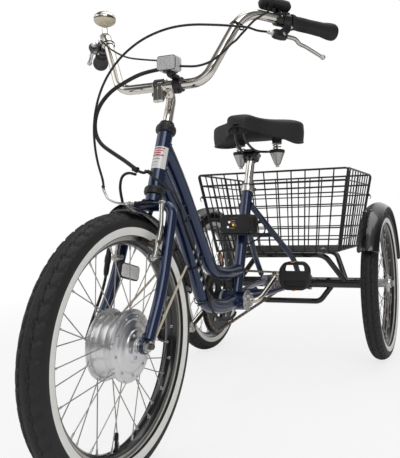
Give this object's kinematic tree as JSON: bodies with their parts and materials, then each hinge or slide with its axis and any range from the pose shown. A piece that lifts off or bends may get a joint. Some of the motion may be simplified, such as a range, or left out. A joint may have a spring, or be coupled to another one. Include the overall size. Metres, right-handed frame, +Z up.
{
  "type": "electric tricycle",
  "caption": "Adult electric tricycle with a step-through frame, front hub motor, wire basket over the rear axle, sprung saddle and raised handlebar.",
  "frame": {"origin": "on the ground, midway along the tricycle's length on its centre plane", "axes": "+X forward, +Y to the rider's left, +Z up"},
  "size_m": [1.5727, 0.734, 1.0121],
  "materials": {
    "frame_paint": "metallic gloss",
    "black_parts": "satin",
    "carrier_black": "gloss",
    "zinc": "satin",
    "fender_black": "gloss",
    "wire_black": "semi-gloss",
    "chrome": "polished",
    "saddle_cover": "soft matt",
    "black_plastic": "matt",
    "chain_steel": "oiled",
    "cable_black": "satin",
    "grip_rubber": "matt",
    "silver": "satin",
    "lamp_silver": "bright silver",
    "tyre": "matt with a white wall",
    "rim_black": "gloss",
    "motor_alloy": "polished",
    "guard_black": "satin",
    "pedal_black": "matt"
  },
  "bodies": {
    "frame": {"head_tube": "frame_paint", "headset_cups": "black_parts", "upper_frame_tube": "frame_paint", "lower_frame_tube": "frame_paint", "seat_tube": "frame_paint", "bottom_bracket": "zinc", "seat_stays": "frame_paint", "chain_stays": "frame_paint", "axle_housing": "carrier_black", "rear_carrier": "carrier_black", "rear_fenders": "fender_black", "basket": "wire_black", "seat_post": "chrome", "saddle_springs": "chrome", "saddle": "saddle_cover", "control_box": "black_plastic", "chain": "chain_steel", "frame_cables": "cable_black"},
    "steering": {"fork": "frame_paint", "front_axle": "zinc", "stem": "chrome", "handlebar": "chrome", "grips": "grip_rubber", "brake_levers": "silver", "bell": "chrome", "headlight": "lamp_silver", "display": "black_plastic", "front_fender": "fender_black", "front_brake": "silver", "bar_cables": "cable_black"},
    "front_wheel": {"front_tyre": "tyre", "front_rim": "rim_black", "front_hub": "motor_alloy"},
    "rear_wheel_left": {"rear_left_tyre": "tyre", "rear_left_rim": "rim_black", "rear_left_hub": "zinc"},
    "rear_wheel_right": {"rear_right_tyre": "tyre", "rear_right_rim": "rim_black", "rear_right_hub": "zinc", "drive_axle": "zinc"},
    "crank": {"crank": "chrome", "chainring": "guard_black"},
    "pedal_left": {"pedal_left": "pedal_black"},
    "pedal_right": {"pedal_right": "pedal_black"}
  },
  "joints": [
    {"name": "steering", "type": "hinge", "parent": "frame", "child": "steering", "pos_m": [0.37731, 0, 0.614], "axis": [-0.342, 0, 0.9397], "range_deg": [-45, 45]},
    {"name": "front_wheel_spin", "type": "hinge", "parent": "steering", "child": "front_wheel", "pos_m": [0.5364, 0, 0.25], "axis": [0, 1, 0], "continuous": true},
    {"name": "rear_left_spin", "type": "hinge", "parent": "frame", "child": "rear_wheel_left", "pos_m": [-0.5186, 0.325, 0.25], "axis": [0, 1, 0], "continuous": true},
    {"name": "rear_right_spin", "type": "hinge", "parent": "frame", "child": "rear_wheel_right", "pos_m": [-0.5186, -0.325, 0.25], "axis": [0, 1, 0], "continuous": true},
    {"name": "crank_spin", "type": "hinge", "parent": "frame", "child": "crank", "pos_m": [-0.0186, 0, 0.256], "axis": [0, 1, 0], "continuous": true},
    {"name": "pedal_left_spin", "type": "hinge", "parent": "crank", "child": "pedal_left", "pos_m": [-0.13226, 0.082, 0.31267], "axis": [0, 1, 0], "continuous": true},
    {"name": "pedal_right_spin", "type": "hinge", "parent": "crank", "child": "pedal_right", "pos_m": [0.09506, -0.082, 0.19933], "axis": [0, 1, 0], "continuous": true}
  ]
}
